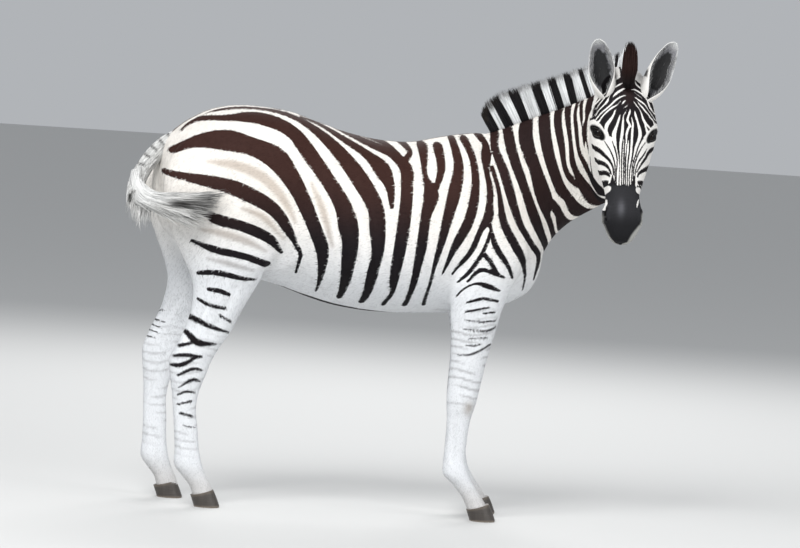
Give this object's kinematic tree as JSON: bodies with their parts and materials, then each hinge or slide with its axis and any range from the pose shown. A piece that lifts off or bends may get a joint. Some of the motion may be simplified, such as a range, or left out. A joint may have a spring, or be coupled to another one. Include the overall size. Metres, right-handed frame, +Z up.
{
  "type": "plains zebra",
  "caption": "Life-size still model of a plains zebra standing square on its hooves, head turned to face its right side, tail curled round its right thigh.",
  "frame": {"origin": "on the floor, under the middle of the model's bounding box", "axes": "+X the way the trunk faces, +Y to the animal's left, +Z up"},
  "size_m": [1.7452, 0.7653, 1.6182],
  "materials": {
    "striped_coat": "short flat hair in dark brown and off-white stripes",
    "muzzle_coat": "very short black velvet hair over skin",
    "mane_hair": "stiff upright hair in black and white bands",
    "tail_hair": "long off-white hair with a grey-brown tip",
    "ear_coat": "white-edged short hair, grey inside",
    "hoof_horn": "dull dark horn with fine growth rings",
    "eye": "wet dark brown"
  },
  "bodies": {
    "root": {"barrel": "striped_coat", "cannon_fore_left": "striped_coat", "cannon_fore_right": "striped_coat", "cannon_hind_left": "striped_coat", "cannon_hind_right": "striped_coat", "ear_left": "ear_coat", "ear_right": "ear_coat", "eye_left": "eye", "eye_right": "eye", "forearm_left": "striped_coat", "forearm_right": "striped_coat", "forelock": "mane_hair", "forequarters": "striped_coat", "gaskin_left": "striped_coat", "gaskin_right": "striped_coat", "head": "striped_coat", "hindquarters": "striped_coat", "hoof_fore_left": "hoof_horn", "hoof_fore_right": "hoof_horn", "hoof_hind_left": "hoof_horn", "hoof_hind_right": "hoof_horn", "mane_front": "mane_hair", "mane_middle": "mane_hair", "mane_rear": "mane_hair", "muzzle": "muzzle_coat", "neck_lower": "striped_coat", "neck_upper": "striped_coat", "pastern_fore_left": "striped_coat", "pastern_fore_right": "striped_coat", "pastern_hind_left": "striped_coat", "pastern_hind_right": "striped_coat", "tail_dock": "tail_hair", "tail_switch": "tail_hair"}
  },
  "joints": []
}
